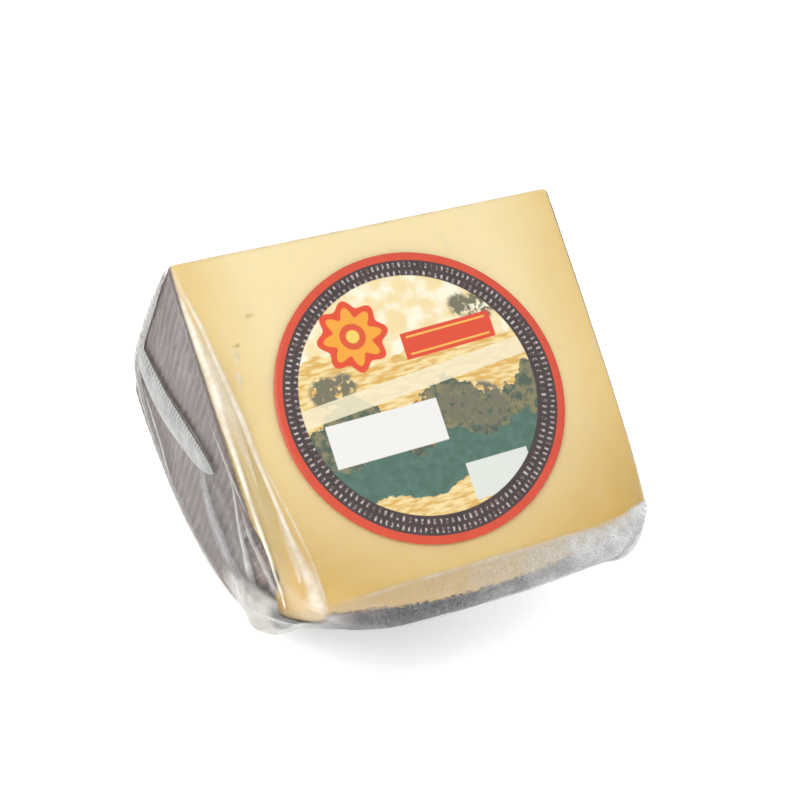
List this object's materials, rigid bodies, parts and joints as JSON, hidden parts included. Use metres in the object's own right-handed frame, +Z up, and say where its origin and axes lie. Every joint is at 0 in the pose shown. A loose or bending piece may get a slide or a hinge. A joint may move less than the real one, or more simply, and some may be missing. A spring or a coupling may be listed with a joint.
{
  "type": "quarter of cured sheep cheese in a vacuum pack",
  "caption": "Quarter of a pressed cured sheep cheese wheel, vacuum packed in clear film with a round printed label on its cut face.",
  "frame": {"origin": "middle of the small flat spot under the rind that the quarter stands on, level with the middle of the foot of its curved side", "axes": "+X along the wheel's axis, from the flat where the film's slack is folded to the smooth flat; +Y from the labelled cut face to the plain one; +Z up, from the rind to the axis edge"},
  "size_m": [0.1069, 0.1348, 0.0994],
  "materials": {
    "vacuum_pack": "clear glossy film drawn tight over ivory-yellow paste and grooved grey-brown rind",
    "label": "printed, satin"
  },
  "bodies": {
    "root": {"vacuum_pack": "vacuum_pack", "label": "label"}
  },
  "joints": []
}
